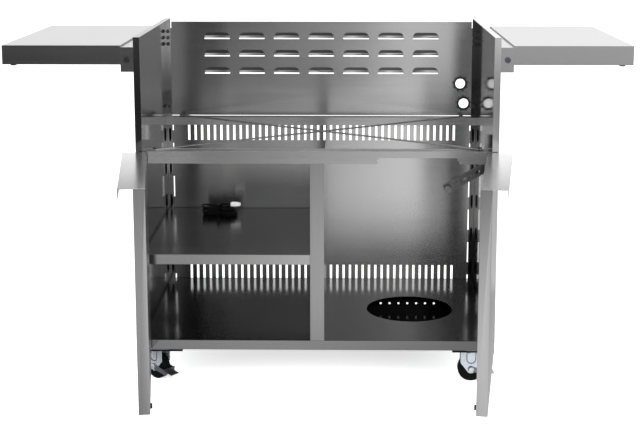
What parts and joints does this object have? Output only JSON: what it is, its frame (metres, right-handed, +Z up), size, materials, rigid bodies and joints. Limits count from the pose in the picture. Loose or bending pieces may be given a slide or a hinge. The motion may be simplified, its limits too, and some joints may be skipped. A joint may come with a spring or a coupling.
{
  "type": "grill cart",
  "caption": "Stainless-steel cart for a drop-in grill head, with a vented back, hinged doors, fold-down side shelves, a tank holder and swivel casters.",
  "frame": {"origin": "on the ground, in the middle of the box around the cart with doors open and shelves up", "axes": "+X to the right seen from the front, +Y to the back, +Z up"},
  "size_m": [1.48, 1.0036, 0.852],
  "materials": {
    "stainless": "brushed stainless sheet",
    "hinge_steel": "satin nickel-plated steel",
    "zinc": "bright zinc plate",
    "fastener": "plated steel",
    "wheel_rubber": "solid black rubber",
    "rubber": "black rubber",
    "cord_black": "black flexible jacket",
    "connector_white": "white moulded plastic"
  },
  "bodies": {
    "cabinet": {"side_panel_right": "stainless", "side_panel_left": "stainless", "upper_back_panel": "stainless", "lower_back_panel": "stainless", "panel_bolts": "fastener", "hose_grommets": "rubber", "floor_pan": "stainless", "tank_pan": "stainless", "front_rail": "stainless", "rear_rail": "stainless", "brace_straps": "stainless", "brace_washers": "fastener", "brace_bolts": "fastener", "centre_post": "stainless", "divider_panel": "stainless", "middle_shelf": "stainless", "wall_bracket": "stainless", "tank_arm_bracket": "zinc", "hinge_arms": "hinge_steel", "hinge_pins": "fastener", "shelf_pins": "fastener", "shelf_brackets": "stainless", "cord_hank": "cord_black", "cord_connector": "connector_white", "cord_barrel": "cord_black", "cord_tie": "cord_black", "base_channels": "stainless", "caster_plates": "zinc", "caster_kingpins": "fastener", "caster_bolts": "fastener"},
    "door_left": {"door_skin_left": "stainless", "door_liner_left": "stainless", "door_handle_left": "stainless", "door_bumper_left": "rubber", "hinge_leaves_left": "hinge_steel"},
    "shelf_left": {"shelf_tray_left": "stainless", "shelf_bumpers_left": "rubber"},
    "door_right": {"door_skin_right": "stainless", "door_liner_right": "stainless", "door_handle_right": "stainless", "door_bumper_right": "rubber", "hinge_leaves_right": "hinge_steel"},
    "shelf_right": {"shelf_tray_right": "stainless", "shelf_bumpers_right": "rubber"},
    "tank_arm": {"tank_arm": "stainless", "tank_arm_knob": "zinc"},
    "caster_front_left": {"caster_fork_front_left": "zinc", "caster_axle_front_left": "fastener"},
    "wheel_front_left": {"caster_wheel_front_left": "wheel_rubber"},
    "pedal_front_left": {"brake_pedal_front_left": "zinc"},
    "caster_front_right": {"caster_fork_front_right": "zinc", "caster_axle_front_right": "fastener"},
    "wheel_front_right": {"caster_wheel_front_right": "wheel_rubber"},
    "pedal_front_right": {"brake_pedal_front_right": "zinc"},
    "caster_rear_left": {"caster_fork_rear_left": "zinc", "caster_axle_rear_left": "fastener"},
    "wheel_rear_left": {"caster_wheel_rear_left": "wheel_rubber"},
    "caster_rear_right": {"caster_fork_rear_right": "zinc", "caster_axle_rear_right": "fastener"},
    "wheel_rear_right": {"caster_wheel_rear_right": "wheel_rubber"}
  },
  "joints": [
    {"name": "door_left_swing", "type": "hinge", "parent": "cabinet", "child": "door_left", "pos_m": [-0.414, -0.08766, 0.182], "axis": [0, 0, -1], "range_deg": [-82, 12]},
    {"name": "shelf_left_fold", "type": "hinge", "parent": "cabinet", "child": "shelf_left", "pos_m": [-0.446, -0.06216, 0.799], "axis": [0, -1, 0], "range_deg": [0, 90]},
    {"name": "door_right_swing", "type": "hinge", "parent": "cabinet", "child": "door_right", "pos_m": [0.414, -0.08766, 0.182], "axis": [0, 0, 1], "range_deg": [-82, 12]},
    {"name": "shelf_right_fold", "type": "hinge", "parent": "cabinet", "child": "shelf_right", "pos_m": [0.446, -0.06216, 0.799], "axis": [0, 1, 0], "range_deg": [0, 90]},
    {"name": "tank_arm_swing", "type": "hinge", "parent": "cabinet", "child": "tank_arm", "pos_m": [0.4088, -0.01816, 0.537], "axis": [0, 1, 0], "range_deg": [-55, 24]},
    {"name": "swivel_front_left", "type": "hinge", "parent": "cabinet", "child": "caster_front_left", "pos_m": [-0.388, -0.01916, 0.0781], "axis": [0, 0, 1], "continuous": true},
    {"name": "roll_front_left", "type": "hinge", "parent": "caster_front_left", "child": "wheel_front_left", "pos_m": [-0.39588, -0.013, 0.0325], "axis": [-0.6157, -0.788, 0], "continuous": true},
    {"name": "brake_front_left", "type": "hinge", "parent": "caster_front_left", "child": "pedal_front_left", "pos_m": [-0.39588, -0.013, 0.0325], "axis": [0.6157, 0.788, 0], "range_deg": [0, 10]},
    {"name": "swivel_front_right", "type": "hinge", "parent": "cabinet", "child": "caster_front_right", "pos_m": [0.388, -0.01916, 0.0781], "axis": [0, 0, 1], "continuous": true},
    {"name": "roll_front_right", "type": "hinge", "parent": "caster_front_right", "child": "wheel_front_right", "pos_m": [0.378, -0.01916, 0.0325], "axis": [0, -1, 0], "continuous": true},
    {"name": "brake_front_right", "type": "hinge", "parent": "caster_front_right", "child": "pedal_front_right", "pos_m": [0.378, -0.01916, 0.0325], "axis": [0, 1, 0], "range_deg": [0, 10]},
    {"name": "swivel_rear_left", "type": "hinge", "parent": "cabinet", "child": "caster_rear_left", "pos_m": [-0.388, 0.43884, 0.0781], "axis": [0, 0, 1], "continuous": true},
    {"name": "roll_rear_left", "type": "hinge", "parent": "caster_rear_left", "child": "wheel_rear_left", "pos_m": [-0.3786, 0.44226, 0.0325], "axis": [-0.342, 0.9397, 0], "continuous": true},
    {"name": "swivel_rear_right", "type": "hinge", "parent": "cabinet", "child": "caster_rear_right", "pos_m": [0.388, 0.43884, 0.0781], "axis": [0, 0, 1], "continuous": true},
    {"name": "roll_rear_right", "type": "hinge", "parent": "caster_rear_right", "child": "wheel_rear_right", "pos_m": [0.38377, 0.4479, 0.0325], "axis": [-0.9063, -0.4226, 0], "continuous": true}
  ]
}
